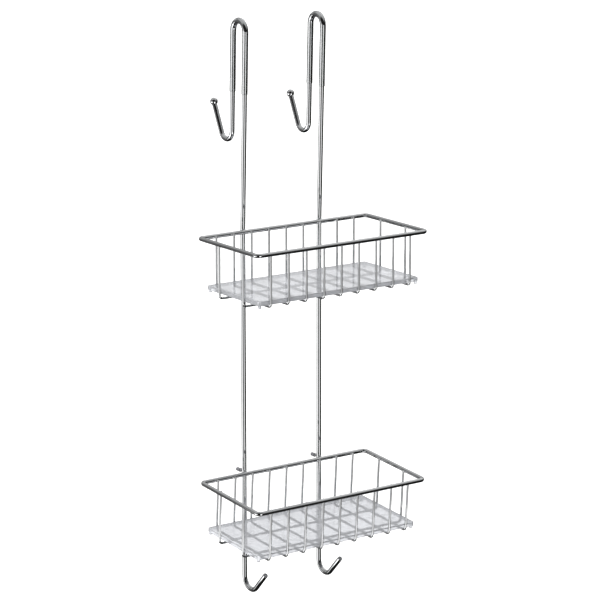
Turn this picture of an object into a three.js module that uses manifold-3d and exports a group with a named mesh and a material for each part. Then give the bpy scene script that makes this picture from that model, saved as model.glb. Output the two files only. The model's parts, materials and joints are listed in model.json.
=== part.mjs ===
// Over-screen shower caddy: two bent chrome uprights hook over a shower screen and carry two welded
// wire baskets, each with a clear plastic tray lying on its bottom wires.
// Millimetres, +Z up, +X to the user's right, -Y towards the user. The origin is the point that
// hangs on the screen's top edge: the underside of the hooks' crest, midway between the two hooks.
import * as THREE from "three";
import { mergeVertices } from "three/addons/utils/BufferGeometryUtils.js";
import Module from "manifold-3d";

const wasm = await Module();
wasm.setup();

// ---- Driving dimensions ----------------------------------------------------------------------

const MEETING_GAP = 0.3;        // left between two pieces that touch or are welded together
const ARC_STEP = 15;            // largest angle between two stations of a bend, in degrees
const WIRE_SIDES = 12;          // facets around a thick wire
const RIB_SIDES = 10;           // facets around a thin wire

// Uprights: one bent wire each, described upwards and downwards from the upper rim's level.
const UPRIGHT_RADIUS = 3.1;
const UPRIGHT_SPACING = 112.4;  // between the two axes
const HOOK_LEAN = 1.85;         // degrees that the hook leans towards the user
const LEAN_BEND_RADIUS = 60;
const HOOK_RISE = 238;          // from the lean's bend to the start of the crest
const CREST_RADIUS = 12.8;
const REAR_LEG = 121.8;         // from the crest down to the rear hook
const REAR_HOOK_RADIUS = 12;
const REAR_HOOK_TURN = 153.4;
const REAR_ARM = 38.5;
const FOOT_DROP = 434.5;        // from the upper rim's level down to the foot hook
const FOOT_HOOK_RADIUS = 14.6;
const FOOT_HOOK_TURN = 137;
const FOOT_ARM = 30.5;

// Fittings on the uprights.
const SLEEVE_RADIUS = 3.8;
const SLEEVE_BORE = 3.4;
const SLEEVE_LEG = 73.5;        // straight length on each side of the crest
const BALL_RADIUS = 4.8;
const SPACER_RISE = 1.2;        // spacer axis above the lower rim
const SPACER_PIN_RADIUS = 1.2;
const SPACER_PIN_LENGTH = 10;
const SPACER_FOOT_RADIUS = 2.4;
const SPACER_FOOT_LENGTH = 7.4;
const SPACER_FOOT_CHAMFER = 0.6;
const SPACER_REACH = 15.4;      // upright's axis to the foot's flat end

// Baskets, in a frame whose origin is the middle of the rear rim wire.
const BASKET_LENGTH = 250.6;    // over the rim wire
const BASKET_DEPTH = 128.6;     // over the rim wire
const BASKET_DROP = 64;         // rim wire down to the cross ribs, between centre lines
const TIER_PITCH = 302.6;       // upper rim to lower rim
const LOWER_TILT = 3.8;         // degrees that the lower basket's front droops
const RIM_RADIUS = 2.65;
const RIM_CORNER = 5.5;
const RIB_RADIUS = 1.4;
const RIB_BEND = 4.5;
const RIB_COUNT = 9;
const RIB_PITCH = 25.3;
const RIB_END_RISE = 0.8;       // wire ends above the rim's centre line
const LONG_WIRE_OFFSET = 25.1;  // long wires in front of and behind the basket's middle

// Trays.
const TRAY_LENGTH = 233.2;
const TRAY_DEPTH = 109.8;
const TRAY_HEIGHT = 5.3;
const TRAY_CORNER = 3;
const TRAY_PLATE = 1.6;
const TRAY_WALL = 1.6;
const PEG_RADIUS = 2.2;
const PEG_LENGTH = 3.2;
const PEG_INSET = 3;            // peg axis in from the tray's edges
const TRAY_SEAT = 1;            // the skirt sits on the ribs' bends, this far above their floor

// ---- Worked-out sizes ------------------------------------------------------------------------

const RIM_LENGTH = BASKET_LENGTH - 2 * RIM_RADIUS;
const RIM_DEPTH = BASKET_DEPTH - 2 * RIM_RADIUS;
const RIB_INSET = RIM_RADIUS + RIB_RADIUS + MEETING_GAP;
const BASKET_SETBACK = UPRIGHT_RADIUS + RIM_RADIUS + MEETING_GAP;
const LONG_WIRE_DROP = BASKET_DROP + 2 * RIB_RADIUS + MEETING_GAP;
const TRAY_BASE = -BASKET_DROP + RIB_RADIUS + TRAY_SEAT;

const X_AXIS = new THREE.Vector3(1, 0, 0);
const Y_AXIS = new THREE.Vector3(0, 1, 0);
const Z_AXIS = new THREE.Vector3(0, 0, 1);

// ---- Materials -------------------------------------------------------------------------------

const chrome = new THREE.MeshStandardMaterial({ color: 0xd6d8db, roughness: 0.1, metalness: 1 });
const clearSleeve = new THREE.MeshStandardMaterial({ color: 0xdfe3e4, roughness: 0.2, metalness: 0 });
const clearTray = new THREE.MeshStandardMaterial({ color: 0xd8dce1, roughness: 0.25, metalness: 0 });
const greyRubber = new THREE.MeshStandardMaterial({ color: 0x66676a, roughness: 0.7, metalness: 0 });

// ---- Wire ------------------------------------------------------------------------------------

// A wire's centre line, walked the way it is bent: straight runs and arcs. It has one station at
// each end of a run and one every ARC_STEP degrees of a bend.
class BentWire extends THREE.Curve {
  constructor(start, heading) {
    super();
    this.stations = [{ point: start.clone(), heading: heading.clone().normalize() }];
    this.bendCentres = [];
  }

  get end() {
    return this.stations.at(-1);
  }

  straight(length) {
    const { point, heading } = this.end;
    const next = point.clone().addScaledVector(heading, length);
    this.stations.push({ point: next, heading: heading.clone() });
    return this;
  }

  // Turns about the axis, by the right-hand rule for a positive angle.
  bend(radius, degrees, axis) {
    const { point, heading } = this.end;
    const inward = new THREE.Vector3().crossVectors(axis, heading).multiplyScalar(Math.sign(degrees));
    const centre = point.clone().addScaledVector(inward, radius);
    const steps = Math.ceil(Math.abs(degrees) / ARC_STEP);
    for (let step = 1; step <= steps; step++) {
      const angle = THREE.MathUtils.degToRad((degrees * step) / steps);
      const turn = new THREE.Quaternion().setFromAxisAngle(axis, angle);
      this.stations.push({
        point: point.clone().sub(centre).applyQuaternion(turn).add(centre),
        heading: heading.clone().applyQuaternion(turn),
      });
    }
    this.bendCentres.push(centre);
    return this;
  }

  // Puts the run of another wire, which starts at this wire's start, in front of this one.
  precededBy(other) {
    const run = other.stations.slice(1).reverse();
    const turned = run.map(({ point, heading }) => ({ point, heading: heading.clone().negate() }));
    this.stations = [...turned, ...this.stations];
    return this;
  }

  stationAt(u) {
    return this.stations[Math.round(u * (this.stations.length - 1))];
  }

  getPointAt(u, target = new THREE.Vector3()) {
    return target.copy(this.stationAt(u).point);
  }

  getTangentAt(u, target = new THREE.Vector3()) {
    return target.copy(this.stationAt(u).heading);
  }
}

function circlePoints(radius, sides) {
  const points = [];
  for (let i = 0; i < sides; i++) {
    const angle = (2 * Math.PI * i) / sides;
    points.push(new THREE.Vector2(radius * Math.cos(angle), radius * Math.sin(angle)));
  }
  return points;
}

// A wire with cut ends, or a tube when it has a bore.
function wireGeometry(path, radius, sides, bore = 0) {
  const section = new THREE.Shape(circlePoints(radius, sides));
  if (bore > 0) section.holes.push(new THREE.Path(circlePoints(bore, sides)));
  return new THREE.ExtrudeGeometry(section, { extrudePath: path, steps: path.stations.length - 1 });
}

// A wire whose two ends are butt-welded into a closed loop.
function loopGeometry(path, radius, sides) {
  return new THREE.TubeGeometry(path, path.stations.length - 1, radius, sides, true);
}

function namedMesh(name, geometry, material) {
  const mesh = new THREE.Mesh(geometry, material);
  mesh.name = name;
  return mesh;
}

// ---- Solids ----------------------------------------------------------------------------------

function toSolid(geometry) {
  const bare = geometry.clone();
  bare.deleteAttribute("normal");
  bare.deleteAttribute("uv");
  const merged = mergeVertices(bare);
  const vertProperties = new Float32Array(merged.attributes.position.array);
  const triVerts = new Uint32Array(merged.index.array);
  return new wasm.Manifold(new wasm.Mesh({ numProp: 3, vertProperties, triVerts }));
}

function toGeometry(solid) {
  const { vertProperties, triVerts } = solid.getMesh();
  const geometry = new THREE.BufferGeometry();
  geometry.setAttribute("position", new THREE.BufferAttribute(vertProperties, 3));
  geometry.setIndex(new THREE.BufferAttribute(triVerts, 1));
  geometry.computeVertexNormals();
  return geometry;
}

// A turned piece about +Z, from [radius, height] pairs that start and end on the axis.
function turnedGeometry(profile, sides) {
  const points = profile.map(([radius, height]) => new THREE.Vector2(radius, height));
  return new THREE.LatheGeometry(points, sides).rotateX(Math.PI / 2);
}

// ---- Uprights and what is on them ------------------------------------------------------------

// The rack frame has its origin on the uprights' plane, midway between them, at the upper rim.
const rack = new THREE.Group();

function uprightPath() {
  const start = new THREE.Vector3(0, 0, 0);
  const foot = new BentWire(start, Z_AXIS.clone().negate())
    .straight(FOOT_DROP)
    .bend(FOOT_HOOK_RADIUS, -FOOT_HOOK_TURN, X_AXIS)
    .straight(FOOT_ARM);
  return new BentWire(start, Z_AXIS)
    .bend(LEAN_BEND_RADIUS, HOOK_LEAN, X_AXIS)
    .straight(HOOK_RISE)
    .bend(CREST_RADIUS, -180, X_AXIS)
    .straight(REAR_LEG)
    .bend(REAR_HOOK_RADIUS, REAR_HOOK_TURN, X_AXIS)
    .straight(REAR_ARM)
    .precededBy(foot);
}

// The tube's path is in the hook's own leaning frame, with the crest's centre as its origin.
function sleeveGeometry() {
  const path = new BentWire(new THREE.Vector3(0, -CREST_RADIUS, -SLEEVE_LEG), Z_AXIS)
    .straight(SLEEVE_LEG)
    .bend(CREST_RADIUS, -180, X_AXIS)
    .straight(SLEEVE_LEG);
  return wireGeometry(path, SLEEVE_RADIUS, WIRE_SIDES, SLEEVE_BORE);
}

// A ball with a blind bore that takes the wire's end. Its origin is the bore's floor.
function ballGeometry() {
  const bore = UPRIGHT_RADIUS + MEETING_GAP;
  const mouth = Math.asin(bore / BALL_RADIUS);
  const arcSteps = 12;
  const profile = [[0, 0], [bore, 0]];
  for (let step = 0; step < arcSteps; step++) {
    const angle = mouth + ((Math.PI - mouth) * step) / arcSteps;
    profile.push([BALL_RADIUS * Math.sin(angle), -BALL_RADIUS * Math.cos(angle)]);
  }
  profile.push([0, BALL_RADIUS]);
  return turnedGeometry(profile, 2 * WIRE_SIDES);
}

// A stub behind each upright that holds the lower basket off the screen. Built along +Z.
function spacerPinGeometry() {
  return new THREE.CylinderGeometry(
    SPACER_PIN_RADIUS, SPACER_PIN_RADIUS, SPACER_PIN_LENGTH, RIB_SIDES,
  ).rotateX(Math.PI / 2).translate(0, 0, SPACER_PIN_LENGTH / 2);
}

// The rubber foot over the stub. Its origin is its flat end, and its bore opens towards -Z.
function spacerFootGeometry() {
  const bore = SPACER_PIN_RADIUS + MEETING_GAP;
  const chamfered = SPACER_FOOT_RADIUS - SPACER_FOOT_CHAMFER;
  const pinTip = UPRIGHT_RADIUS + MEETING_GAP + SPACER_PIN_LENGTH;
  const boreFloor = pinTip + MEETING_GAP - SPACER_REACH;
  const profile = [
    [0, boreFloor],
    [bore, boreFloor],
    [bore, -SPACER_FOOT_LENGTH],
    [SPACER_FOOT_RADIUS, -SPACER_FOOT_LENGTH],
    [SPACER_FOOT_RADIUS, -SPACER_FOOT_CHAMFER],
    [chamfered, 0],
    [0, 0],
  ];
  return turnedGeometry(profile, WIRE_SIDES);
}

function buildUpright(side, x) {
  const path = uprightPath();
  const upright = new THREE.Group();
  upright.position.x = x;
  upright.add(namedMesh(`${side}_upright`, wireGeometry(path, UPRIGHT_RADIUS, WIRE_SIDES), chrome));

  const [, crestCentre] = path.bendCentres;
  const sleeve = namedMesh(`${side}_hook_sleeve`, sleeveGeometry(), clearSleeve);
  sleeve.position.copy(crestCentre);
  sleeve.rotation.x = THREE.MathUtils.degToRad(HOOK_LEAN);
  upright.add(sleeve);

  const ball = namedMesh(`${side}_hook_ball`, ballGeometry(), chrome);
  const { point, heading } = path.end;
  ball.position.copy(point).addScaledVector(heading, MEETING_GAP);
  ball.quaternion.setFromUnitVectors(Z_AXIS, heading);
  upright.add(ball);

  const spacer = new THREE.Group();
  spacer.position.z = -TIER_PITCH + SPACER_RISE;
  spacer.quaternion.setFromUnitVectors(Z_AXIS, Y_AXIS);
  const pin = namedMesh(`${side}_spacer_pin`, spacerPinGeometry(), chrome);
  pin.position.z = UPRIGHT_RADIUS + MEETING_GAP;
  const foot = namedMesh(`${side}_spacer_foot`, spacerFootGeometry(), greyRubber);
  foot.position.z = SPACER_REACH;
  spacer.add(pin, foot);
  upright.add(spacer);
  rack.add(upright);
  return crestCentre;
}

const crestCentre = buildUpright("left", -UPRIGHT_SPACING / 2);
buildUpright("right", UPRIGHT_SPACING / 2);

// ---- Baskets ---------------------------------------------------------------------------------

function rimPath() {
  const sideRun = RIM_LENGTH / 2 - RIM_CORNER;
  const endRun = RIM_DEPTH - 2 * RIM_CORNER;
  return new BentWire(new THREE.Vector3(0, 0, 0), X_AXIS)
    .straight(sideRun)
    .bend(RIM_CORNER, -90, Z_AXIS)
    .straight(endRun)
    .bend(RIM_CORNER, -90, Z_AXIS)
    .straight(2 * sideRun)
    .bend(RIM_CORNER, -90, Z_AXIS)
    .straight(endRun)
    .bend(RIM_CORNER, -90, Z_AXIS)
    .straight(sideRun);
}

// A U of thin wire: down from the rim, across the basket and up again. It starts at a wire end,
// and the bends turn about the axis given.
function hangingWire(start, drop, span, axis) {
  const path = new BentWire(start, Z_AXIS.clone().negate())
    .straight(RIB_END_RISE + drop - RIB_BEND)
    .bend(RIB_BEND, -90, axis)
    .straight(span - 2 * RIB_BEND)
    .bend(RIB_BEND, -90, axis)
    .straight(RIB_END_RISE + drop - RIB_BEND);
  return wireGeometry(path, RIB_RADIUS, RIB_SIDES);
}

function roundedRectangle(length, depth, corner) {
  const x = length / 2 - corner;
  const y = depth / 2 - corner;
  const outline = new THREE.Shape();
  outline.absarc(x, y, corner, 0, Math.PI / 2);
  outline.absarc(-x, y, corner, Math.PI / 2, Math.PI);
  outline.absarc(-x, -y, corner, Math.PI, 1.5 * Math.PI);
  outline.absarc(x, -y, corner, 1.5 * Math.PI, 2 * Math.PI);
  return outline;
}

// A flat plate with a skirt around it and a peg under each corner. Its origin is the middle of
// the skirt's lower edge.
function trayGeometry() {
  const cornerSegments = 4;
  const outer = new THREE.ExtrudeGeometry(
    roundedRectangle(TRAY_LENGTH, TRAY_DEPTH, TRAY_CORNER),
    { depth: TRAY_HEIGHT, bevelEnabled: false, curveSegments: cornerSegments },
  );
  const hollow = new THREE.ExtrudeGeometry(
    roundedRectangle(TRAY_LENGTH - 2 * TRAY_WALL, TRAY_DEPTH - 2 * TRAY_WALL, TRAY_CORNER - TRAY_WALL),
    { depth: TRAY_HEIGHT, bevelEnabled: false, curveSegments: cornerSegments },
  ).translate(0, 0, -TRAY_PLATE);
  let tray = toSolid(outer).subtract(toSolid(hollow));
  const pegHeight = PEG_LENGTH + TRAY_HEIGHT - TRAY_PLATE / 2;
  const peg = new THREE.CylinderGeometry(PEG_RADIUS, PEG_RADIUS, pegHeight, WIRE_SIDES)
    .rotateX(Math.PI / 2)
    .translate(0, 0, pegHeight / 2 - PEG_LENGTH);
  for (const x of [-1, 1]) {
    for (const y of [-1, 1]) {
      const placed = peg.clone().translate(
        x * (TRAY_LENGTH / 2 - PEG_INSET), y * (TRAY_DEPTH / 2 - PEG_INSET), 0,
      );
      tray = tray.add(toSolid(placed));
    }
  }
  return toGeometry(tray);
}

function buildBasket(tier) {
  const basket = new THREE.Group();
  basket.add(namedMesh(`${tier}_rim`, loopGeometry(rimPath(), RIM_RADIUS, WIRE_SIDES), chrome));

  for (let i = 0; i < RIB_COUNT; i++) {
    const x = (i - (RIB_COUNT - 1) / 2) * RIB_PITCH;
    const start = new THREE.Vector3(x, -RIB_INSET, RIB_END_RISE);
    const rib = hangingWire(start, BASKET_DROP, RIM_DEPTH - 2 * RIB_INSET, X_AXIS);
    basket.add(namedMesh(`${tier}_cross_rib_${i + 1}`, rib, chrome));
  }

  const middle = -RIM_DEPTH / 2;
  const longWires = { front: middle - LONG_WIRE_OFFSET, rear: middle + LONG_WIRE_OFFSET };
  for (const [place, y] of Object.entries(longWires)) {
    const start = new THREE.Vector3(-RIM_LENGTH / 2 + RIB_INSET, y, RIB_END_RISE);
    const wire = hangingWire(start, LONG_WIRE_DROP, RIM_LENGTH - 2 * RIB_INSET, Y_AXIS);
    basket.add(namedMesh(`${tier}_long_wire_${place}`, wire, chrome));
  }

  const tray = namedMesh(`${tier}_tray`, trayGeometry(), clearTray);
  tray.position.set(0, middle, TRAY_BASE);
  basket.add(tray);
  rack.add(basket);
  return basket;
}

const upperBasket = buildBasket("upper");
upperBasket.position.set(0, -BASKET_SETBACK, 0);

const lowerBasket = buildBasket("lower");
lowerBasket.position.set(0, -BASKET_SETBACK, -TIER_PITCH);
lowerBasket.rotation.x = THREE.MathUtils.degToRad(LOWER_TILT);

// ---- Caddy -----------------------------------------------------------------------------------

const hangingHeight = crestCentre.z + CREST_RADIUS - SLEEVE_RADIUS;
rack.position.set(0, -crestCentre.y, -hangingHeight);

const caddy = new THREE.Group();
caddy.add(rack);
export default caddy;
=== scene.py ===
"""Over-screen shower caddy: chrome wire, clear sleeves and clear trays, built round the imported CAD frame.

Metres, +Z up, +X to the user's right, -Y towards the user. Each piece has its place in its mesh.
"""

import json
import math

import bpy
import numpy as np
from bpy.props import FloatProperty, FloatVectorProperty, IntProperty, PointerProperty
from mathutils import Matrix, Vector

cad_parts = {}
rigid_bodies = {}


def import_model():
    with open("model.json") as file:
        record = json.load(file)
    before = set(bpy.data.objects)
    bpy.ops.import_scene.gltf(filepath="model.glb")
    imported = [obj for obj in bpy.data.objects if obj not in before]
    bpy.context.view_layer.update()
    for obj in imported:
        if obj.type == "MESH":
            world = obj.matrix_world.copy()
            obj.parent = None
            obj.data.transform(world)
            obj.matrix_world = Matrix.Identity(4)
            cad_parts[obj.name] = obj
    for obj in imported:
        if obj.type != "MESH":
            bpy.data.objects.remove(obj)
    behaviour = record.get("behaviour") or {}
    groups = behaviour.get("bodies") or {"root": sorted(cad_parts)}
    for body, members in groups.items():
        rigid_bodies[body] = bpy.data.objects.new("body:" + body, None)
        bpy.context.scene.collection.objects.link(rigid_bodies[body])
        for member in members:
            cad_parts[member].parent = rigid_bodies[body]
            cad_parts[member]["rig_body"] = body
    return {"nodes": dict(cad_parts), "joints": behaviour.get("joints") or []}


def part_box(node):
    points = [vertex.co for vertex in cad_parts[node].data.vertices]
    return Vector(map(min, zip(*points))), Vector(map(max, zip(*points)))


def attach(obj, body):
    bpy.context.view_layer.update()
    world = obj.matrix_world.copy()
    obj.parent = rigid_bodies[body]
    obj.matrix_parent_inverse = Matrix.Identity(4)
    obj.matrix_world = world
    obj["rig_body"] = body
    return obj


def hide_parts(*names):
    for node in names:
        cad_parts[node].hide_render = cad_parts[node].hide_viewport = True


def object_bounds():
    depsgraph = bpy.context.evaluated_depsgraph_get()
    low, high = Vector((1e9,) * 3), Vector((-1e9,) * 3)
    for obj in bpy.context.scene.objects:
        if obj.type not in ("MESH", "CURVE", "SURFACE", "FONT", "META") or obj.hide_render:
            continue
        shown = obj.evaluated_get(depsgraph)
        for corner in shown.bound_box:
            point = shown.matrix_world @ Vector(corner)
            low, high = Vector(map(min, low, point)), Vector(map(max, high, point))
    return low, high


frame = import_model()
CAD_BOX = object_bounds()

bl_info = {
    "name": "Wire Shower Caddy",
    "version": (1, 0, 0),
    "blender": (4, 5, 0),
    "location": "3D Viewport > Sidebar > Caddy",
    "description": "Builds a chrome wire shower caddy with clear trays around its CAD frame",
    "category": "Add Mesh",
}

MM = 0.001
THIN_SIDES = 24
FLOOR_SIDES = 96
SENSOR_WIDTH = 36
MOST_APART = 0.8 * MM
# Painted light: the trays' skirt and underside are painted this many times paler than the plate's top,
# standing in for light that the skirt catches.
SKIRT_PAINTED_LIGHT = 1.95
SIDES = ("left", "right")
TIERS = ("upper", "lower")
X_AXIS = np.array([1.0, 0.0, 0.0])
Y_AXIS = np.array([0.0, 1.0, 0.0])
Z_AXIS = np.array([0.0, 0.0, 1.0])

# Half sizes of the weld beads, along the basket's own three axes.
RIB_TO_RIM_BEAD = (1.5, 0.75, 1.6)
RIB_TO_LONG_WIRE_BEAD = (1.15, 1.15, 0.8)
LONG_WIRE_TO_RIM_BEAD = (0.75, 1.5, 1.6)
UPRIGHT_TO_RIM_BEAD = (2.0, 0.9, 2.0)
PIN_BEAD = (1.7, 1.7, 0.7)

# Directions of the soft lights, as turns in degrees about X, Y and Z.
LIGHTS = (("daylight", (-12, -18, 0)), ("fill", (65, 0, -60)))

# The studio's panels, for the chrome and the trays to reflect. Turns, half widths and soft edges are in
# degrees, turns are round from the camera and positive to its right, and heights are sines of the elevation.
# Turn, half width, soft edge, height, half height, fade in height, strength.
FREE_PANELS = (
    (155, 25, 12, 0.65, 0.15, 0.15, 0.3),
    (-135, 60, 25, -0.1, 0.3, 0.3, 0.1),
    (180, 55, 15, 0.23, 0.06, 0.06, 0.4),
)
# Turn, half width, soft edge and strength of those in the belt below eye level.
BELT_PANELS = ((-69, 33, 5, 1.0), (29, 15, 4, 1.0), (162, 20, 6, 0.5))
# Direction, reach, soft edge and strength of the small bright spots.
SPOTS = (((-0.81, 0.28, -0.52), 8, 5, 2.5), ((-0.15, -0.84, -0.52), 8, 5, 2.5))
ROOM_GLOW = 0.012


# ---- Settings ---------------------------------------------------------------------------------


def length(name, description, default):
    return FloatProperty(
        name=name, description=description, default=default, min=0, precision=5, unit="LENGTH"
    )


def angle(name, description, degrees):
    return FloatProperty(
        name=name, description=description, default=math.radians(degrees), subtype="ANGLE"
    )


def share(name, description, default):
    return FloatProperty(
        name=name, description=description, default=default, min=0, max=1, subtype="FACTOR"
    )


def number(name, description, default):
    return FloatProperty(name=name, description=description, default=default, min=0)


def colour(name, description, default):
    return FloatVectorProperty(
        name=name, description=description, default=default, size=3, min=0, max=1, subtype="COLOR"
    )


class CaddyUprights(bpy.types.PropertyGroup):
    """The two bent wires that hang over the screen"""

    radius: length("Wire radius", "Radius of the uprights' wire", 3.1 * MM)
    crest_radius: length("Crest radius", "Bend over the screen, to the wire's centre line", 12.8 * MM)
    hook_lean: angle("Hook lean", "Lean of the hook towards the user", 1.85)
    lean_radius: length("Lean bend radius", "Bend where the lean starts", 60 * MM)
    hook_rise: length("Hook rise", "From the lean's bend to the crest", 238 * MM)
    foot_drop: length("Foot drop", "From the lean's bend to the foot hook", 434.5 * MM)
    foot_radius: length("Foot hook radius", "Bend of the foot hook", 14.6 * MM)
    foot_turn: angle("Foot hook turn", "Angle of the foot hook's bend", 137)
    foot_arm: length("Foot hook arm", "Straight end of the foot hook", 30.5 * MM)
    rear_leg: length("Rear leg", "From the crest to the rear hook", 121.8 * MM)
    rear_radius: length("Rear hook radius", "Bend of the rear hook", 12 * MM)
    rear_turn: angle("Rear hook turn", "Angle of the rear hook's bend", 153.4)
    rear_arm: length("Rear hook arm", "Straight end that carries the ball", 38.5 * MM)
    edge: length("Cut edge", "Rounding of the wire's cut end", 0.5 * MM)


class CaddyFittings(bpy.types.PropertyGroup):
    """Sleeves, balls and spacers on the uprights"""

    sleeve_radius: length("Sleeve radius", "Outside of the clear sleeve", 3.8 * MM)
    sleeve_bore: length("Sleeve bore", "Inside of the soft sleeve, shrunk into the wire", 2.4 * MM)
    sleeve_leg: length("Sleeve leg", "Sleeved length on each side of the crest", 73.5 * MM)
    ball_radius: length("Ball radius", "Radius of the ball on the rear hook", 4.8 * MM)
    pin_radius: length("Pin radius", "Radius of the spacer's pin", 1.2 * MM)
    foot_radius: length("Foot radius", "Radius of the spacer's rubber foot", 2.4 * MM)
    foot_edge: length("Foot edge", "Rounding of the rubber foot", 0.6 * MM)


class CaddyBaskets(bpy.types.PropertyGroup):
    """Wire of the two baskets"""

    rim_radius: length("Rim wire radius", "Radius of the rim's wire", 2.65 * MM)
    rim_length: length("Rim length", "Length of the rim, between centre lines", 245.3 * MM)
    rim_depth: length("Rim depth", "Depth of the rim, between centre lines", 123.3 * MM)
    rim_corner: length("Rim corner", "Bend at the rim's corners", 5.5 * MM)
    rib_radius: length("Rib wire radius", "Radius of the thin wires", 1.4 * MM)
    rib_bend: length("Rib bend", "Bend of the thin wires", 4.5 * MM)
    rib_inset: length("Rib inset", "Rim's centre line to a thin wire's centre line", 4.35 * MM)
    rib_rise: length("Rib end rise", "Thin wires' ends above the rim's centre line", 0.8 * MM)
    rib_drop: length("Rib drop", "Rim down to the cross ribs", 64 * MM)
    long_drop: length("Long wire drop", "Rim down to the long wires", 67.1 * MM)
    long_offset: length("Long wire offset", "Long wires from the basket's middle", 25.1 * MM)
    edge: length("Cut edge", "Rounding of the thin wires' cut ends", 0.35 * MM)


class CaddyTrays(bpy.types.PropertyGroup):
    """The two clear moulded trays"""

    height: length("Height", "Height of the skirt", 5.3 * MM)
    corner: length("Corner", "Rounding of the tray's corners", 3 * MM)
    plate: length("Plate thickness", "Thickness of the plate", 1.6 * MM)
    wall: length("Wall thickness", "Thickness of the skirt", 1.6 * MM)
    top_edge: length("Top edge", "Rounding of the top edge", 0.9 * MM)
    low_edge: length("Lower edge", "Rounding of the skirt's lower edge", 0.4 * MM)
    peg_radius: length("Peg radius", "Radius of the corner pegs", 2.2 * MM)
    peg_length: length("Peg length", "Pegs below the skirt", 3.2 * MM)
    peg_inset: length("Peg inset", "Peg axis in from the tray's edges", 3 * MM)


class CaddyFinishes(bpy.types.PropertyGroup):
    """Colours and finishes"""

    chrome: colour("Chrome", "Colour of the plating", (0.84, 0.85, 0.86))
    chrome_roughness: share("Chrome roughness", "Roughness of the plating", 0.02)
    sleeve: colour("Sleeve", "Tint of the clear sleeves", (0.95, 0.96, 0.96))
    tray: colour("Tray", "Tint of the clear trays", (0.39, 0.396, 0.411))
    tray_roughness: share("Tray roughness", "Roughness of the trays", 0.018)
    rubber: colour("Rubber", "Colour of the spacers' feet", (0.13, 0.13, 0.14))


class CaddyStage(bpy.types.PropertyGroup):
    """Floor, light and camera"""

    floor: colour("Floor", "Colour of the floor", (0.9, 0.9, 0.9))
    floor_gap: length("Floor gap", "Clear height under the foot hooks", 120 * MM)
    floor_radius: length("Floor radius", "Radius of the floor", 40.0)
    daylight: number("Daylight", "Strength of the soft overhead light", 4.2)
    fill: number("Fill", "Strength of the soft light from the camera's side", 1.6)
    softness: angle("Softness", "Angle across each light", 80)
    surround: number("Surround", "Strength of the studio's surround", 1.0)
    camera_turn: angle("Camera turn", "Angle of the view from the front, to the user's left", 35.058)
    camera_rise: angle("Camera rise", "Angle of the view above the horizon", 13.169)
    camera_roll: angle("Camera roll", "Roll of the camera", 0.038)
    camera_distance: length("Camera distance", "From the camera to its aim", 3.27)
    camera_aim: FloatVectorProperty(
        name="Camera aim", description="Point that the camera looks at", size=3, subtype="TRANSLATION",
        default=(0.0038, -0.03992, -0.33577), unit="LENGTH",
    )
    lens: number("Lens", "Focal length, in millimetres on a 36 mm sensor", 162.0)


class CaddySettings(bpy.types.PropertyGroup):
    """Everything that a user would change"""

    sides: IntProperty(name="Sides", description="Facets around a wire", default=32, min=8, max=64)
    uprights: PointerProperty(type=CaddyUprights)
    fittings: PointerProperty(type=CaddyFittings)
    baskets: PointerProperty(type=CaddyBaskets)
    trays: PointerProperty(type=CaddyTrays)
    finishes: PointerProperty(type=CaddyFinishes)
    stage: PointerProperty(type=CaddyStage)


# ---- Surfaces ---------------------------------------------------------------------------------


def walk(start, heading, normal, moves):
    """A centre line in the plane across normal, as (points, tangents).

    A run is (length,) and a bend is (radius, turn). Along a bend the heading is its first value times the
    cosine of the angle turned, plus the sideways direction times the sine. The point goes round a centre that
    lies one radius to that side.
    """
    points, tangents = [np.array([start])], [np.array([heading])]
    for move in moves:
        point, ahead = points[-1][-1], tangents[-1][-1]
        if len(move) == 1:
            points.append((point + ahead * move[0])[None])
            tangents.append(ahead[None])
            continue
        radius, turn = move
        sideways = np.cross(normal, ahead)
        turned = np.linspace(0, turn, max(2, math.ceil(abs(turn) / math.radians(5)) + 1))[1:, None]
        centre = point + sideways * radius * np.sign(turn)
        ahead_there = ahead * np.cos(turned) + sideways * np.sin(turned)
        points.append(centre - np.sign(turn) * radius * np.cross(normal, ahead_there))
        tangents.append(ahead_there)
    return np.concatenate(points), np.concatenate(tangents)


def backwards(line):
    """The same centre line, walked the other way."""
    points, tangents = line
    return points[::-1], -tangents[::-1]


def joined(first, second):
    """Two centre lines that meet at a point, as one."""
    return tuple(np.concatenate([a, b[1:]]) for a, b in zip(first, second))


def cut_ends(line, radius, edge):
    """A centre line and the radius at each of its stations, with both cut ends rounded.

    Near an end the radius is the wire's less the edge times one minus the sine of an angle, at a distance of
    the edge times one minus its cosine.
    """
    points, tangents = line
    quarter = np.linspace(0, math.pi / 2, 6)
    inset = edge * (1 - np.cos(quarter))[:, None]
    radii = radius - edge * (1 - np.sin(quarter))
    head = points[0] + tangents[0] * inset
    tail = (points[-1] - tangents[-1] * inset)[::-1]
    stations = np.concatenate([head, points[1:-1], tail])
    first = np.repeat(tangents[:1], len(head), axis=0)
    last = np.repeat(tangents[-1:], len(tail), axis=0)
    headings = np.concatenate([first, tangents[1:-1], last])
    return stations, headings, np.concatenate([radii, np.full(len(points) - 2, radius), radii[::-1]])


def rings_along(points, tangents, normal, radii, sides):
    """Circles carried along a plane centre line, and where their points would lie on a straight wire.

    A point is the centre line's, plus the radius times the cosine of the angle around, towards the side, plus
    the radius times its sine, along the plane's normal.
    """
    around = np.linspace(0, 2 * math.pi, sides, endpoint=False)
    cos, sin = np.cos(around)[None, :, None], np.sin(around)[None, :, None]
    side = np.cross(normal, tangents)[:, None]
    radii = np.asarray(radii)[:, None, None]
    rings = points[:, None] + radii * (cos * side + sin * normal)
    run = np.concatenate([[0], np.cumsum(np.linalg.norm(np.diff(points, axis=0), axis=1))])
    along = np.broadcast_to(run[:, None, None], rings.shape[:2] + (1,))
    unbent = np.concatenate([radii * cos, radii * sin, along], 2)
    return rings, unbent


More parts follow.
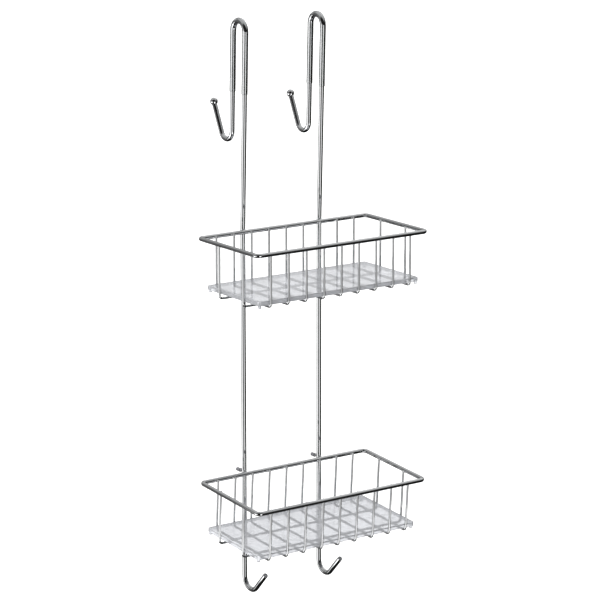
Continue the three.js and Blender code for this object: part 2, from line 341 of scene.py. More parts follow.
def grid_mesh(rings, unbent=None, loop=False, turned_in=False):
    """Vertices, faces and unbent places of a skin over rings.

    It is closed by a pole at each end unless it loops.
    """
    count, sides = rings.shape[:2]
    index = np.arange(count * sides).reshape(count, sides)
    if loop:
        index = np.concatenate([index, index[:1]])
    onward = np.roll(index, -1, axis=1)
    quads = np.stack([index[:-1], onward[:-1], onward[1:], index[1:]], 2).reshape(-1, 4)
    vertices = rings.reshape(-1, 3)
    places = vertices if unbent is None else unbent.reshape(-1, 3)
    faces = [quads]
    if not loop:
        poles = np.stack([rings[0].mean(0), rings[-1].mean(0)])
        first, last = count * sides, count * sides + 1
        faces.append(np.stack([np.full(sides, first), onward[0], index[0]], 1))
        faces.append(np.stack([np.full(sides, last), index[-1], onward[-1]], 1))
        vertices = np.concatenate([vertices, poles])
        if unbent is None:
            places = vertices
        else:
            places = np.concatenate([places, unbent[0].mean(0)[None], unbent[-1].mean(0)[None]])
    if turned_in:
        faces = [part[:, ::-1] for part in faces]
    return vertices, faces, places


def merged(parts):
    """Several skins as one."""
    vertices, faces, places, start = [], [], [], 0
    for part_vertices, part_faces, part_places in parts:
        vertices.append(part_vertices)
        places.append(part_places)
        faces.extend(block + start for block in part_faces)
        start += len(part_vertices)
    return np.concatenate(vertices), faces, np.concatenate(places)


def new_object(name, skin):
    """A smooth mesh object from a skin, with its unbent places as an attribute."""
    vertices, faces, places = skin
    mesh = bpy.data.meshes.new(name)
    mesh.from_pydata(vertices.tolist(), [], [face for block in faces for face in block.tolist()])
    unbent = mesh.attributes.new("unbent", "FLOAT_VECTOR", "POINT")
    unbent.data.foreach_set("vector", places.astype(np.float32).ravel())
    mesh.shade_smooth()
    mesh.validate()
    piece = bpy.data.objects.new(name, mesh)
    bpy.context.scene.collection.objects.link(piece)
    return piece


def stands_for(piece, node, material):
    """The piece takes the node's place, on the node's body. Stops if it isn't where the node is."""
    corners = np.array([v.co for v in piece.data.vertices])
    low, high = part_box(node)
    apart = max(np.abs(corners.min(0) - low).max(), np.abs(corners.max(0) - high).max())
    if apart > MOST_APART:
        raise RuntimeError(f"{piece.name} is {apart / MM:.2f} mm off {node}")
    piece.data.materials.append(material)
    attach(piece, frame["nodes"][node]["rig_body"])
    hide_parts(node)


def middle(node):
    """Centre of a node's box."""
    low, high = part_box(node)
    return (np.array(low) + np.array(high)) / 2


def turned_rings(profile, foot, axis, sides):
    """Rings of a profile of (radius, height) pairs, turned about an axis that stands on the foot."""
    helper = X_AXIS if abs(axis[0]) < 0.9 else Y_AXIS
    across = np.cross(helper, axis)
    across /= np.linalg.norm(across)
    also = np.cross(axis, across)
    radii, heights = np.array(profile).T
    around = np.linspace(0, 2 * math.pi, sides, endpoint=False)[None, :, None]
    spread = np.cos(around) * across + np.sin(around) * also
    return foot + heights[:, None, None] * axis + radii[:, None, None] * spread


def blob(centre, axes, sizes, phase):
    """A small weld bead: an ellipsoid on three axes whose radius wavers a little with the angle around.

    A point is each axis times its half size times the sphere's sines and cosines, all times one plus a few
    hundredths of the sine of three times the angle around and of the cosine of twice the angle down.
    """
    down = np.linspace(0, math.pi, 9)[1:-1, None]
    around = np.linspace(0, 2 * math.pi, 16, endpoint=False)[None, :]
    waver = 1 + 0.07 * np.sin(3 * around + phase) * np.sin(down) + 0.04 * np.cos(2 * down + phase)
    sphere = np.stack([
        np.sin(down) * np.cos(around), np.sin(down) * np.sin(around), -np.cos(down) * np.ones_like(around),
    ], 2)
    rings = centre + (sphere * waver[..., None] * np.array(sizes)) @ np.array(axes)
    return grid_mesh(rings)


# ---- Materials --------------------------------------------------------------------------------


class Link:
    """A node's output. Arithmetic between links and numbers adds Math nodes."""

    def __init__(self, sheet, socket):
        self.sheet = sheet
        self.socket = socket

    def maths(self, operation, *others):
        terms = dict(enumerate((self, *others)))
        return self.sheet.add("ShaderNodeMath", 0, {"operation": operation}, terms)

    def __add__(self, other):
        return self.maths("ADD", other)

    __radd__ = __add__

    def __sub__(self, other):
        return self.maths("SUBTRACT", other)

    def __rsub__(self, other):
        return self * -1 + other

    def __mul__(self, other):
        return self.maths("MULTIPLY", other)

    __rmul__ = __mul__


class Sheet:
    """A node tree that is filled from expressions."""

    def __init__(self, owner):
        owner.use_nodes = True
        self.tree = owner.node_tree
        self.tree.nodes.clear()

    def add(self, kind, output=0, settings=None, sockets=None):
        """A node of that kind. Its settings are set first, then the values or links of its sockets."""
        node = self.tree.nodes.new(kind)
        for name, value in (settings or {}).items():
            if name == "stops":
                self.set_stops(node.color_ramp, value)
            else:
                setattr(node, name, value)
        for name, value in (sockets or {}).items():
            socket = node.inputs[name]
            if isinstance(value, Link):
                self.tree.links.new(value.socket, socket)
            else:
                socket.default_value = value
        return Link(self, node.outputs[output]) if node.outputs else node

    @staticmethod
    def set_stops(ramp, stops):
        ramp.elements.remove(ramp.elements[-1])
        for place, value in stops[1:]:
            ramp.elements.new(place).color = value
        ramp.elements[0].position, ramp.elements[0].color = stops[0]

    def step(self, value, low, high, to_low=0.0, to_high=1.0):
        """A smooth step from to_low to to_high as value goes from low to high."""
        settings = {"interpolation_type": "SMOOTHSTEP"}
        return self.add("ShaderNodeMapRange", 0, settings, {
            "Value": value, "From Min": low, "From Max": high, "To Min": to_low, "To Max": to_high,
        })

    def mix(self, factor, first, second):
        """A colour between two."""
        return self.add("ShaderNodeMix", 2, {"data_type": "RGBA"}, {0: factor, 6: first, 7: second})

    def noise(self, place, scale, detail=2.0, roughness=0.5):
        sockets = {"Vector": place, "Scale": scale, "Detail": detail, "Roughness": roughness}
        return self.add("ShaderNodeTexNoise", 0, {}, sockets)

    def place(self, stretch=(1, 1, 1)):
        """Object coordinates, stretched."""
        here = self.add("ShaderNodeTexCoord", "Object")
        return self.add("ShaderNodeMapping", 0, {}, {"Vector": here, "Scale": stretch})

    def along_wire(self, stretch=(1, 1, 1)):
        """Coordinates that follow a wire as if it were straight, with Z along it, or a tray's own frame."""
        here = self.add("ShaderNodeAttribute", "Vector", {"attribute_name": "unbent"})
        return self.add("ShaderNodeMapping", 0, {}, {"Vector": here, "Scale": stretch})

    def bump(self, height, distance, strength=1.0, below=None):
        sockets = {"Height": height, "Distance": distance, "Strength": strength}
        if below is not None:
            sockets["Normal"] = below
        return self.add("ShaderNodeBump", 0, {}, sockets)

    def surface(self, shader):
        self.add("ShaderNodeOutputMaterial", 0, {}, {"Surface": shader})


def rgba(rgb, times=1.0):
    return tuple(min(1.0, c * times) for c in rgb) + (1.0,)


def once(name):
    """Decorates a function that fills a material's sheet, so that each material is made once."""

    def wrap(fill):
        def made():
            material = bpy.data.materials.get(name)
            if material is None:
                material = bpy.data.materials.new(name)
                fill(Sheet(material), bpy.context.scene.caddy.finishes)
            return material

        return made

    return wrap


@once("Bright chrome wire")
def chrome_wire(sheet, finishes):
    """Plated drawn wire: die lines along it, a faint ripple in the plating, and slightly duller patches."""
    ripple = sheet.noise(sheet.place(), 260, 2)
    die_lines = sheet.noise(sheet.along_wire((1, 1, 0.02)), 2600, 2)
    patches = sheet.noise(sheet.place(), 90, 3)
    specks = sheet.step(sheet.noise(sheet.place(), 1700, 2), 0.66, 0.76)
    dull = sheet.step(patches, 0.45, 0.72)
    tone = sheet.mix(dull * 0.6 + specks * 0.4, rgba(finishes.chrome), rgba(finishes.chrome, 0.9))
    rough = finishes.chrome_roughness + dull * 0.02 + specks * 0.05
    normal = sheet.bump(ripple, 0.05 * MM, 0.3)
    normal = sheet.bump(die_lines, 0.002 * MM, 0.3, normal)
    sheet.surface(sheet.add("ShaderNodeBsdfPrincipled", 0, {}, {
        "Base Color": tone, "Metallic": 1.0, "Roughness": rough, "Normal": normal,
    }))


@once("Plated weld")
def plated_weld(sheet, finishes):
    """Plating over a weld bead: uneven and a little duller."""
    lumps = sheet.noise(sheet.place(), 900, 3, 0.6)
    tone = sheet.mix(sheet.step(lumps, 0.4, 0.7), rgba(finishes.chrome), rgba(finishes.chrome, 0.82))
    rough = finishes.chrome_roughness + 0.05 + sheet.step(lumps, 0.4, 0.8) * 0.1
    sheet.surface(sheet.add("ShaderNodeBsdfPrincipled", 0, {}, {
        "Base Color": tone, "Metallic": 1.0, "Roughness": rough, "Normal": sheet.bump(lumps, 0.25 * MM, 0.6),
    }))


@once("Clear sleeve")
def clear_sleeve(sheet, finishes):
    """Clear soft tube with faint draw lines along it and a slight haze."""
    lines = sheet.noise(sheet.along_wire((1, 1, 0.03)), 1500, 2)
    haze = sheet.noise(sheet.place(), 220, 3)
    tone = sheet.mix(sheet.step(haze, 0.4, 0.7), rgba(finishes.sleeve), rgba(finishes.sleeve, 0.96))
    rough = 0.01 + sheet.step(haze, 0.45, 0.75) * 0.03
    sheet.surface(sheet.add("ShaderNodeBsdfPrincipled", 0, {}, {
        "Base Color": tone, "Roughness": rough, "Normal": sheet.bump(lines, 0.002 * MM, 0.3),
        "Transmission Weight": 1.0, "IOR": 1.46,
    }))


@once("Clear tray")
def clear_tray(sheet, finishes):
    """Moulded clear plastic, slightly milky, with a satin grain, soft flow marks and a few scuffs.

    The colour is a cool grey on the plate's top, and painted paler on the skirt and underneath: painted
    light, not a colour of the plastic itself.
    """
    grain = sheet.noise(sheet.place(), 2200, 3, 0.6)
    flow = sheet.noise(sheet.place((1, 2.5, 1)), 22, 3)
    scuffs = sheet.step(sheet.noise(sheet.place((1, 6, 1)), 160, 4, 0.7), 0.62, 0.74)
    height = sheet.add("ShaderNodeSeparateXYZ", "Z", {}, {"Vector": sheet.along_wire()})
    # Painted light: below the plate's top the colour is painted paler, standing in for light on the skirt; it
    # is not a colour of the plastic.
    top_free_of_painted_light = sheet.step(height, 4.9 * MM, 5.25 * MM)
    painted_light_tint = sheet.mix(top_free_of_painted_light, rgba(finishes.tray, SKIRT_PAINTED_LIGHT), rgba(finishes.tray))
    tone = sheet.mix(sheet.step(flow, 0.35, 0.7, 0.0, 0.1), painted_light_tint, rgba(finishes.tray, 0.7))
    rough = finishes.tray_roughness + sheet.step(flow, 0.3, 0.8) * 0.02 + scuffs * 0.04
    normal = sheet.bump(grain, 0.01 * MM, 0.3)
    normal = sheet.bump(flow, 0.3 * MM, 0.2, normal)
    sheet.surface(sheet.add("ShaderNodeBsdfPrincipled", 0, {}, {
        "Base Color": tone, "Roughness": rough, "Normal": normal, "Transmission Weight": 0.66, "IOR": 1.49,
    }))


@once("Grey rubber")
def grey_rubber(sheet, finishes):
    """Matt rubber with a fine pebble and a paler bloom in places."""
    pebble = sheet.noise(sheet.place(), 2400, 3, 0.6)
    bloom = sheet.step(sheet.noise(sheet.place(), 420, 3), 0.42, 0.7)
    tone = sheet.mix(bloom, rgba(finishes.rubber), rgba(finishes.rubber, 1.5))
    sheet.surface(sheet.add("ShaderNodeBsdfPrincipled", 0, {}, {
        "Base Color": tone, "Roughness": 0.62 + bloom * 0.15, "Normal": sheet.bump(pebble, 0.06 * MM, 0.7),
    }))


@once("Pale floor")
def pale_floor(sheet, finishes):
    """Plain matt floor with a barely visible mottle."""
    mottle = sheet.noise(sheet.place(), 0.8, 2)
    pale = bpy.context.scene.caddy.stage.floor
    tone = sheet.mix(mottle, rgba(pale), rgba(pale, 0.98))
    matt = sheet.add("ShaderNodeBsdfPrincipled", 0, {}, {
        "Base Color": tone, "Roughness": 0.9, "Specular IOR Level": 0.0,
    })
    unseen = sheet.add("ShaderNodeBsdfTransparent")
    mirrored = sheet.add("ShaderNodeLightPath", "Glossy Depth").maths("GREATER_THAN", 0.5)
    sheet.surface(sheet.add("ShaderNodeMixShader", 0, {}, {0: mirrored, 1: matt, 2: unseen}))


# ---- Where things are -------------------------------------------------------------------------


def upright_line(side, settings):
    """Centre line of an upright, walked from its foot to its ball end."""
    crest = crest_centre(side, settings)
    lean = settings.hook_lean
    down = np.array([0, math.sin(lean), -math.cos(lean)])
    forward = np.array([0, -math.cos(lean), -math.sin(lean)])
    front = crest + forward * settings.crest_radius
    lower = walk(front, down, X_AXIS, [
        (settings.hook_rise,),
        (settings.lean_radius, -lean),
        (settings.foot_drop,),
        (settings.foot_radius, -settings.foot_turn),
        (settings.foot_arm,),
    ])
    upper = walk(front, -down, X_AXIS, [
        (settings.crest_radius, -math.pi),
        (settings.rear_leg,),
        (settings.rear_radius, settings.rear_turn),
        (settings.rear_arm,),
    ])
    return joined(backwards(lower), upper)


def crest_centre(side, settings):
    """Centre of the bend over the screen, from the top of the upright's node."""
    low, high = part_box(f"{side}_upright")
    return np.array([(low.x + high.x) / 2, 0, high.z - settings.radius - settings.crest_radius])


def basket_frame(tier):
    """The middle of a basket's rim and its three axes, from the rim's box and the tray's joint."""
    joint = next(j for j in frame["joints"] if j["name"] == f"{tier}_tray_lift")
    up = np.array(joint["axis"], float)
    up /= np.linalg.norm(up)
    return middle(f"{tier}_rim"), np.stack([X_AXIS, np.cross(up, X_AXIS), up])


def in_basket(tier, point):
    """A point given in the basket's own frame, in the caddy's frame."""
    centre, axes = basket_frame(tier)
    return centre + np.asarray(point) @ axes


def hanging_wire(node, tier, start, heading, normal, span, drop, settings, sides):
    """A U of thin wire in a basket: down, across and up again."""
    leg = drop + settings.rib_rise - settings.rib_bend
    bend = (settings.rib_bend, math.pi / 2)
    moves = [(leg,), bend, (span - 2 * settings.rib_bend,), bend, (leg,)]
    line = walk(np.array(start), np.array(heading), np.array(normal), moves)
    stations, headings, radii = cut_ends(line, settings.rib_radius, settings.edge)
    _, axes = basket_frame(tier)
    rings, unbent = rings_along(stations, headings, np.array(normal), radii, sides)
    piece = new_object(f"{node}_wire", grid_mesh(in_basket(tier, rings), unbent))
    stands_for(piece, node, chrome_wire())


# ---- Operators --------------------------------------------------------------------------------


class CADDY_OT_uprights(bpy.types.Operator):
    """Bends the two uprights"""

    bl_idname = "caddy.uprights"
    bl_label = "Uprights"

    def execute(self, context):
        caddy = context.scene.caddy
        settings = caddy.uprights
        for side in SIDES:
            line = cut_ends(upright_line(side, settings), settings.radius, settings.edge)
            stations, headings, radii = line
            skin = grid_mesh(*rings_along(stations, headings, X_AXIS, radii, caddy.sides))
            piece = new_object(f"{side}_upright_wire", skin)
            stands_for(piece, f"{side}_upright", chrome_wire())
        return {"FINISHED"}


class CADDY_OT_sleeves(bpy.types.Operator):
    """Pushes a clear sleeve over each crest"""

    bl_idname = "caddy.sleeves"
    bl_label = "Sleeves"

    def execute(self, context):
        caddy = context.scene.caddy
        wire, fittings = caddy.uprights, caddy.fittings
        lean = wire.hook_lean
        up = np.array([0, -math.sin(lean), math.cos(lean)])
        forward = np.array([0, -math.cos(lean), -math.sin(lean)])
        for side in SIDES:
            start = crest_centre(side, wire) + forward * wire.crest_radius - up * fittings.sleeve_leg
            leg = (fittings.sleeve_leg,)
            line = walk(start, up, X_AXIS, [leg, (wire.crest_radius, -math.pi), leg])
            outer = cut_ends(line, fittings.sleeve_radius, 0.3 * MM)
            inner = cut_ends(line, fittings.sleeve_bore, 0.0)
            out_rings, out_unbent = rings_along(outer[0], outer[1], X_AXIS, outer[2], caddy.sides)
            in_rings, in_unbent = rings_along(inner[0], inner[1], X_AXIS, inner[2], caddy.sides)
            # The bore's ends are not rounded, so only the last of each end's rings is used.
            square_ends = slice(5, -5)
            rings = np.concatenate([out_rings, in_rings[square_ends][::-1]])
            unbent = np.concatenate([out_unbent, in_unbent[square_ends][::-1]])
            skin = grid_mesh(rings, unbent, loop=True)
            piece = new_object(f"{side}_sleeve_tube", skin)
            stands_for(piece, f"{side}_hook_sleeve", clear_sleeve())
        return {"FINISHED"}


class CADDY_OT_hook_balls(bpy.types.Operator):
    """Sets a ball on the end of each rear hook"""

    bl_idname = "caddy.hook_balls"
    bl_label = "Hook balls"

    def execute(self, context):
        caddy = context.scene.caddy
        radius = caddy.fittings.ball_radius
        neck = caddy.uprights.radius + 0.5 * MM
        mouth = math.asin(neck / radius)
        polar = np.linspace(mouth, math.pi, 30)[:-1]
        lip = [(caddy.uprights.radius * 0.98, -radius * math.cos(mouth) + 0.5 * MM),
               (caddy.uprights.radius, -radius * math.cos(mouth) - 0.25 * MM),
               (neck - 0.2 * MM, -radius * math.cos(mouth) - 0.35 * MM)]
        round_part = np.stack([radius * np.sin(polar), -radius * np.cos(polar)], 1)
        for side in SIDES:
            points, tangents = upright_line(side, caddy.uprights)
            profile = np.concatenate([lip, round_part])
            centre = points[-1] + tangents[-1] * 0.3 * MM
            rings = turned_rings(profile, centre, tangents[-1], caddy.sides + 8)
            piece = new_object(f"{side}_ball_end", grid_mesh(rings))
            stands_for(piece, f"{side}_hook_ball", chrome_wire())
        return {"FINISHED"}


class CADDY_OT_spacers(bpy.types.Operator):
    """Makes the pins behind the uprights and their rubber feet"""

    bl_idname = "caddy.spacers"
    bl_label = "Spacers"

    def execute(self, context):
        caddy = context.scene.caddy
        fittings = caddy.fittings
        for side in SIDES:
            low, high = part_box(f"{side}_spacer_pin")
            foot = middle(f"{side}_spacer_pin") * (1, 0, 1) + Y_AXIS * low.y
            pin_length = high.y - low.y
            edge = 0.3 * MM
            radius = fittings.pin_radius
            pin = [(radius, 0), (radius, pin_length - edge)]
            pin += self.round_over(radius, pin_length, edge)
            piece = new_object(f"{side}_pin_wire", grid_mesh(turned_rings(pin, foot, Y_AXIS, THIN_SIDES)))
            stands_for(piece, f"{side}_spacer_pin", chrome_wire())

            low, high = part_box(f"{side}_spacer_foot")
            base = middle(f"{side}_spacer_foot") * (1, 0, 1) + Y_AXIS * low.y
            size, radius = high.y - low.y, fittings.foot_radius
            lip, groove = 0.35 * MM, radius - 0.25 * MM
            cap = [(r, size - h) for r, h in self.round_over(radius, size, lip)][::-1]
            cap += [(radius, size * 0.3), (groove, size * 0.36), (groove, size * 0.44), (radius, size * 0.5)]
            cap += self.round_over(radius, size, fittings.foot_edge)
            skin = grid_mesh(turned_rings(cap, base, Y_AXIS, caddy.sides))
            piece = new_object(f"{side}_foot_cap", skin)
            stands_for(piece, f"{side}_spacer_foot", grey_rubber())
        return {"FINISHED"}

    @staticmethod
    def round_over(radius, height, edge):
        """A quarter round from side to top.

        The radius falls short by the edge times one minus the cosine of an angle, and the height by the edge
        times one minus its sine.
        """
        quarter = np.linspace(0, math.pi / 2, 6)
        return [(radius - edge * (1 - math.cos(a)), height - edge * (1 - math.sin(a))) for a in quarter]


class CADDY_OT_rims(bpy.types.Operator):
    """Bends the two rims"""

    bl_idname = "caddy.rims"
    bl_label = "Rims"

    def execute(self, context):
        caddy = context.scene.caddy
        wire = caddy.baskets
        corner = (wire.rim_corner, -math.pi / 2)
        long_run = wire.rim_length - 2 * wire.rim_corner
        end_run = (wire.rim_depth - 2 * wire.rim_corner,)
        end = [corner, end_run, corner]
        moves = [(long_run / 2,), *end, (long_run,), *end, (long_run / 2,)]
        start = np.array([0, wire.rim_depth / 2, 0])
        points, tangents = walk(start, X_AXIS, Z_AXIS, moves)
        for tier in TIERS:
            radii = np.full(len(points) - 1, wire.rim_radius)
            rings, unbent = rings_along(points[:-1], tangents[:-1], Z_AXIS, radii, caddy.sides)
            skin = grid_mesh(in_basket(tier, rings), unbent, loop=True)
            piece = new_object(f"{tier}_rim_wire", skin)
            stands_for(piece, f"{tier}_rim", chrome_wire())
        return {"FINISHED"}


class CADDY_OT_cross_ribs(bpy.types.Operator):
    """Bends the cross ribs of both baskets"""

    bl_idname = "caddy.cross_ribs"
    bl_label = "Cross ribs"

    def execute(self, context):
        caddy = context.scene.caddy
        wire = caddy.baskets
        span = wire.rim_depth - 2 * wire.rib_inset
        for tier in TIERS:
            nodes = sorted(n for n in frame["nodes"] if n.startswith(f"{tier}_cross_rib_"))
            for node in nodes:
                start = (middle(node)[0], span / 2, wire.rib_rise)
                hanging_wire(node, tier, start, -Z_AXIS, -X_AXIS, span, wire.rib_drop, wire, THIN_SIDES)
        return {"FINISHED"}


class CADDY_OT_long_wires(bpy.types.Operator):
    """Bends the long wires under the ribs"""

    bl_idname = "caddy.long_wires"
    bl_label = "Long wires"

    def execute(self, context):
        wire = context.scene.caddy.baskets
        span = wire.rim_length - 2 * wire.rib_inset
        for tier in TIERS:
            for place, y in (("front", -wire.long_offset), ("rear", wire.long_offset)):
                node = f"{tier}_long_wire_{place}"
                start = (-span / 2, y, wire.rib_rise)
                hanging_wire(node, tier, start, -Z_AXIS, -Y_AXIS, span, wire.long_drop, wire, THIN_SIDES)
        return {"FINISHED"}


class CADDY_OT_welds(bpy.types.Operator):
    """Adds the small weld beads where wires meet"""

    bl_idname = "caddy.welds"
    bl_label = "Welds"

    def execute(self, context):
        caddy = context.scene.caddy
        wire, upright = caddy.baskets, caddy.uprights
        for tier in TIERS:
            _, axes = basket_frame(tier)
            beads = []

            def bead(point, sizes):
                beads.append(blob(in_basket(tier, point), axes, np.array(sizes) * MM, 1.7 * len(beads)))

            at_rim, low = wire.rim_radius + 0.1 * MM, 0.5 * MM
            between = (wire.rib_drop + wire.long_drop) / 2
            names = [n for n in frame["nodes"] if n.startswith(f"{tier}_cross_rib_")]
            columns = sorted(middle(n)[0] for n in names)
            for x in columns:
                for side in (-1, 1):
                    bead((x, side * (wire.rim_depth / 2 - at_rim), -low), RIB_TO_RIM_BEAD)
                    bead((x, side * wire.long_offset, -between), RIB_TO_LONG_WIRE_BEAD)
            for y in (-wire.long_offset, wire.long_offset):
                for side in (-1, 1):
                    bead((side * (wire.rim_length / 2 - at_rim), y, -low), LONG_WIRE_TO_RIM_BEAD)
            for side in SIDES:
                x = crest_centre(side, upright)[0]
                bead((x, wire.rim_depth / 2 + at_rim, 0), UPRIGHT_TO_RIM_BEAD)
            piece = new_object(f"{tier}_welds", merged(beads))
            self.keep(piece, f"{tier}_rim")
        beads = []
        for side in SIDES:
            low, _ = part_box(f"{side}_spacer_pin")
            foot = middle(f"{side}_spacer_pin") * (1, 0, 1) + Y_AXIS * low.y
            beads.append(blob(foot, np.stack([X_AXIS, Z_AXIS, -Y_AXIS]), np.array(PIN_BEAD) * MM, 1.0))
        self.keep(new_object("spacer_welds", merged(beads)), "left_spacer_pin")
        return {"FINISHED"}

    @staticmethod
    def keep(piece, node):
        piece.data.materials.append(plated_weld())
        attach(piece, frame["nodes"][node]["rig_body"])


class CADDY_OT_trays(bpy.types.Operator):
    """Moulds the two clear trays"""

    bl_idname = "caddy.trays"
    bl_label = "Trays"

    def execute(self, context):
        settings = context.scene.caddy.trays
        low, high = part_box("upper_tray")
        half = np.array([high.x - low.x, high.y - low.y]) / 2
        pegs = merged([self.peg(half, sx, sy, settings) for sx in (-1, 1) for sy in (-1, 1)])
        shell = self.shell(half, settings)
        for tier in TIERS:
            # The tray's own frame has its origin in the middle of the skirt's lower edge.
            axes = basket_frame(tier)[1]
            centre = middle(f"{tier}_tray") - axes[2] * (settings.height - settings.peg_length) / 2
            piece, added = (
                new_object(f"{tier}_tray_{part}", (centre + vertices @ axes, faces, places))
                for part, (vertices, faces, places) in (("moulding", shell), ("pegs", pegs))
            )
            union = piece.modifiers.new("pegs", "BOOLEAN")
            union.operation, union.solver, union.object = "UNION", "EXACT", added
            shown = piece.evaluated_get(context.evaluated_depsgraph_get())
            piece.data = bpy.data.meshes.new_from_object(shown)
            piece.modifiers.clear()
            bpy.data.objects.remove(added)
            piece.data.shade_smooth()
            piece.data.set_sharp_from_angle(angle=math.radians(40))
            stands_for(piece, f"{tier}_tray", clear_tray())
        return {"FINISHED"}

    @staticmethod
    def outline(half, corner, inset):
        """A rounded rectangle, inset: each corner's centre plus what is left of its radius."""
        least = 0.2 * MM
        centre = half - np.maximum(corner, inset + least)
        radius = max(corner - inset, least)
        quarter = np.linspace(0, math.pi / 2, 9)
        corners = []
        for number, (sx, sy) in enumerate(((1, 1), (-1, 1), (-1, -1), (1, -1))):
            angles = quarter + number * math.pi / 2
            corners.append(centre * (sx, sy) + radius * np.stack([np.cos(angles), np.sin(angles)], 1))
        return np.concatenate(corners)

    def shell(self, half, settings):
        """Plate and skirt, where each ring is the outline at an inset and a height.

        They go from the plate's middle over its edge, down the skirt, and back under the plate.
        """
        top, low, wall = settings.top_edge, settings.low_edge, settings.wall
        height, ceiling = settings.height, settings.height - settings.plate
        innermost, flat, flange = 20 * MM, 6 * MM, 0.5 * MM
        quarter = np.linspace(0, math.pi / 2, 7)
        stations = [(innermost, height), (flat, height), (top + flange, height)]
        stations += [(top * (1 - math.sin(a)), height - top * (1 - math.cos(a))) for a in quarter]
        stations += [(low * (1 - math.cos(a)), low * (1 - math.sin(a))) for a in quarter]
        stations += [(wall - low * (1 - math.sin(a)), low * (1 - math.cos(a))) for a in quarter]
        stations += [(wall + low * (1 - math.cos(a)), ceiling - low * (1 - math.sin(a))) for a in quarter]
        stations += [(wall + low + flange, ceiling), (innermost, ceiling)]
        rings = []
        for inset, level in stations:
            outline = self.outline(half, settings.corner, inset)
            rings.append(np.column_stack([outline, np.full(len(outline), level)]))
        return grid_mesh(np.stack(rings), turned_in=True)

    def peg(self, half, sx, sy, settings):
        """A round peg with a rounded end, from inside the plate to below the skirt."""
        radius, edge = settings.peg_radius, 0.5 * MM
        quarter = np.linspace(0, math.pi / 2, 6)
        foot = [(radius - edge * (1 - math.sin(a)), edge * (1 - math.cos(a))) for a in quarter]
        top = settings.peg_length + settings.height - settings.plate / 2
        place = np.append((half - settings.peg_inset) * (sx, sy), -settings.peg_length)
        return grid_mesh(turned_rings(foot + [(radius, top)], place, Z_AXIS, THIN_SIDES))


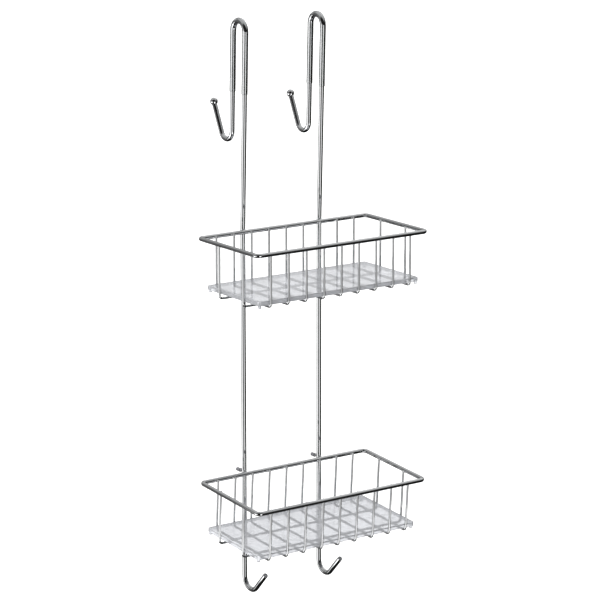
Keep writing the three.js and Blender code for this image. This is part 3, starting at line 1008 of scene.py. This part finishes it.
class CADDY_OT_stage(bpy.types.Operator):
    """Lays the floor and sets the light and the camera"""

    bl_idname = "caddy.stage"
    bl_label = "Stage"

    def execute(self, context):
        stage = context.scene.caddy.stage
        self.lay_floor(stage)
        self.light(context, stage)
        self.surround(context, stage)
        self.set_camera(context, stage)
        context.scene.view_settings.view_transform = "Standard"
        return {"FINISHED"}

    @staticmethod
    def lay_floor(stage):
        height = CAD_BOX[0].z - stage.floor_gap
        around = np.linspace(0, 2 * math.pi, FLOOR_SIDES, endpoint=False)
        circle = np.stack([np.cos(around), np.sin(around), np.zeros(FLOOR_SIDES)], 1)
        rings = np.stack([circle * stage.floor_radius * part + Z_AXIS * height for part in (0.02, 0.2, 1)])
        vertices, faces, places = grid_mesh(rings, turned_in=True)
        floor = new_object("floor", (vertices, faces[:2], places))
        floor.data.materials.append(pale_floor())

    @staticmethod
    def light(context, stage):
        """Two broad suns that mirror reflections and clear pieces don't show."""
        for name, angles in LIGHTS:
            lamp = bpy.data.lights.new(name, "SUN")
            lamp.energy, lamp.angle = getattr(stage, name), stage.softness
            light = bpy.data.objects.new(name, lamp)
            light.rotation_euler = [math.radians(a) for a in angles]
            light.visible_glossy = False
            light.visible_transmission = False
            context.scene.collection.objects.link(light)

    @staticmethod
    def surround(context, stage):
        """A soft studio round the caddy: white to the camera, and panels in a dark room for other rays."""
        world = bpy.data.worlds.new("studio")
        context.scene.world = world
        sheet = Sheet(world)
        towards = sheet.add("ShaderNodeTexCoord", "Generated")
        x, y, z = (sheet.add("ShaderNodeSeparateXYZ", axis, {}, {"Vector": towards}) for axis in "XYZ")
        level = (1 - z * z).maths("SQRT").maths("MAXIMUM", 0.001)
        camera_side = math.atan2(-math.cos(stage.camera_turn), -math.sin(stage.camera_turn))

        def within(near, reach, soft):
            """One inside the reach, falling smoothly to zero over the soft edge, from a cosine."""
            return sheet.step(near, math.cos(math.radians(reach + soft)), math.cos(math.radians(reach)))

        def upright_panel(turn, half_width, soft):
            bearing = camera_side + math.radians(turn)
            near = (x * math.cos(bearing) + y * math.sin(bearing)).maths("DIVIDE", level)
            return within(near, half_width, soft)

        away = x * -math.cos(camera_side) + y * -math.sin(camera_side)
        belt = sheet.step(z, -0.58, -0.5) * sheet.step(z, -0.05, 0.0, 1.0, 0.0)
        glow = ROOM_GLOW + sheet.step(z, 0.12, 0.75, 0.0, 0.45) * sheet.step(away, -0.65, -0.25)
        for turn, half_width, soft, height, half_height, fade, bright in FREE_PANELS:
            off = (z - height).maths("ABSOLUTE")
            tall = sheet.step(off, half_height, half_height + fade, 1.0, 0.0)
            glow = glow + bright * upright_panel(turn, half_width, soft) * tall
        for turn, half_width, soft, bright in BELT_PANELS:
            glow = glow + bright * belt * upright_panel(turn, half_width, soft)
        for direction, reach, soft, bright in SPOTS:
            aim = np.array(direction) / np.linalg.norm(direction)
            near = x * aim[0] + y * aim[1] + z * aim[2]
            glow = glow + bright * within(near, reach, soft)
        rays = sheet.add("ShaderNodeLightPath", "Is Camera Ray")
        seen = rays + (1 - rays) * glow * stage.surround
        shader = sheet.add("ShaderNodeBackground", 0, {}, {"Color": (1, 1, 1, 1), "Strength": seen})
        sheet.add("ShaderNodeOutputWorld", 0, {}, {"Surface": shader})

    @staticmethod
    def set_camera(context, stage):
        turn, rise = stage.camera_turn, stage.camera_rise
        level = math.cos(rise)
        back = np.array([-math.sin(turn) * level, -math.cos(turn) * level, math.sin(rise)])
        camera = bpy.data.objects.new("camera", bpy.data.cameras.new("camera"))
        camera.data.lens, camera.data.sensor_width = stage.lens, SENSOR_WIDTH
        camera.location = np.array(stage.camera_aim) + back * stage.camera_distance
        camera.rotation_euler = (math.pi / 2 - rise, stage.camera_roll, -turn)
        camera.data.clip_end = 3 * stage.floor_radius
        context.scene.collection.objects.link(camera)
        context.scene.camera = camera


class CADDY_PT_sidebar(bpy.types.Panel):
    """The caddy's operators and settings"""

    bl_idname = "CADDY_PT_sidebar"
    bl_label = "Wire Shower Caddy"
    bl_space_type = "VIEW_3D"
    bl_region_type = "UI"
    bl_category = "Caddy"

    def draw(self, context):
        for operator in OPERATORS:
            self.layout.operator(operator.bl_idname)
        caddy = context.scene.caddy
        names = ("uprights", "fittings", "baskets", "trays", "finishes", "stage")
        for group in (getattr(caddy, name) for name in names):
            box = self.layout.box()
            for name in group.__annotations__:
                box.prop(group, name)


OPERATORS = (
    CADDY_OT_uprights,
    CADDY_OT_sleeves,
    CADDY_OT_hook_balls,
    CADDY_OT_spacers,
    CADDY_OT_rims,
    CADDY_OT_cross_ribs,
    CADDY_OT_long_wires,
    CADDY_OT_welds,
    CADDY_OT_trays,
    CADDY_OT_stage,
)
CLASSES = (
    CaddyUprights, CaddyFittings, CaddyBaskets, CaddyTrays, CaddyFinishes, CaddyStage, CaddySettings,
    *OPERATORS, CADDY_PT_sidebar,
)


def register():
    for cls in CLASSES:
        bpy.utils.register_class(cls)
    bpy.types.Scene.caddy = PointerProperty(type=CaddySettings)


def unregister():
    del bpy.types.Scene.caddy
    for cls in reversed(CLASSES):
        bpy.utils.unregister_class(cls)


def main():
    register()
    for operator in OPERATORS:
        getattr(bpy.ops.caddy, operator.bl_idname.split(".")[1])()


if __name__ == "__main__":
    main()
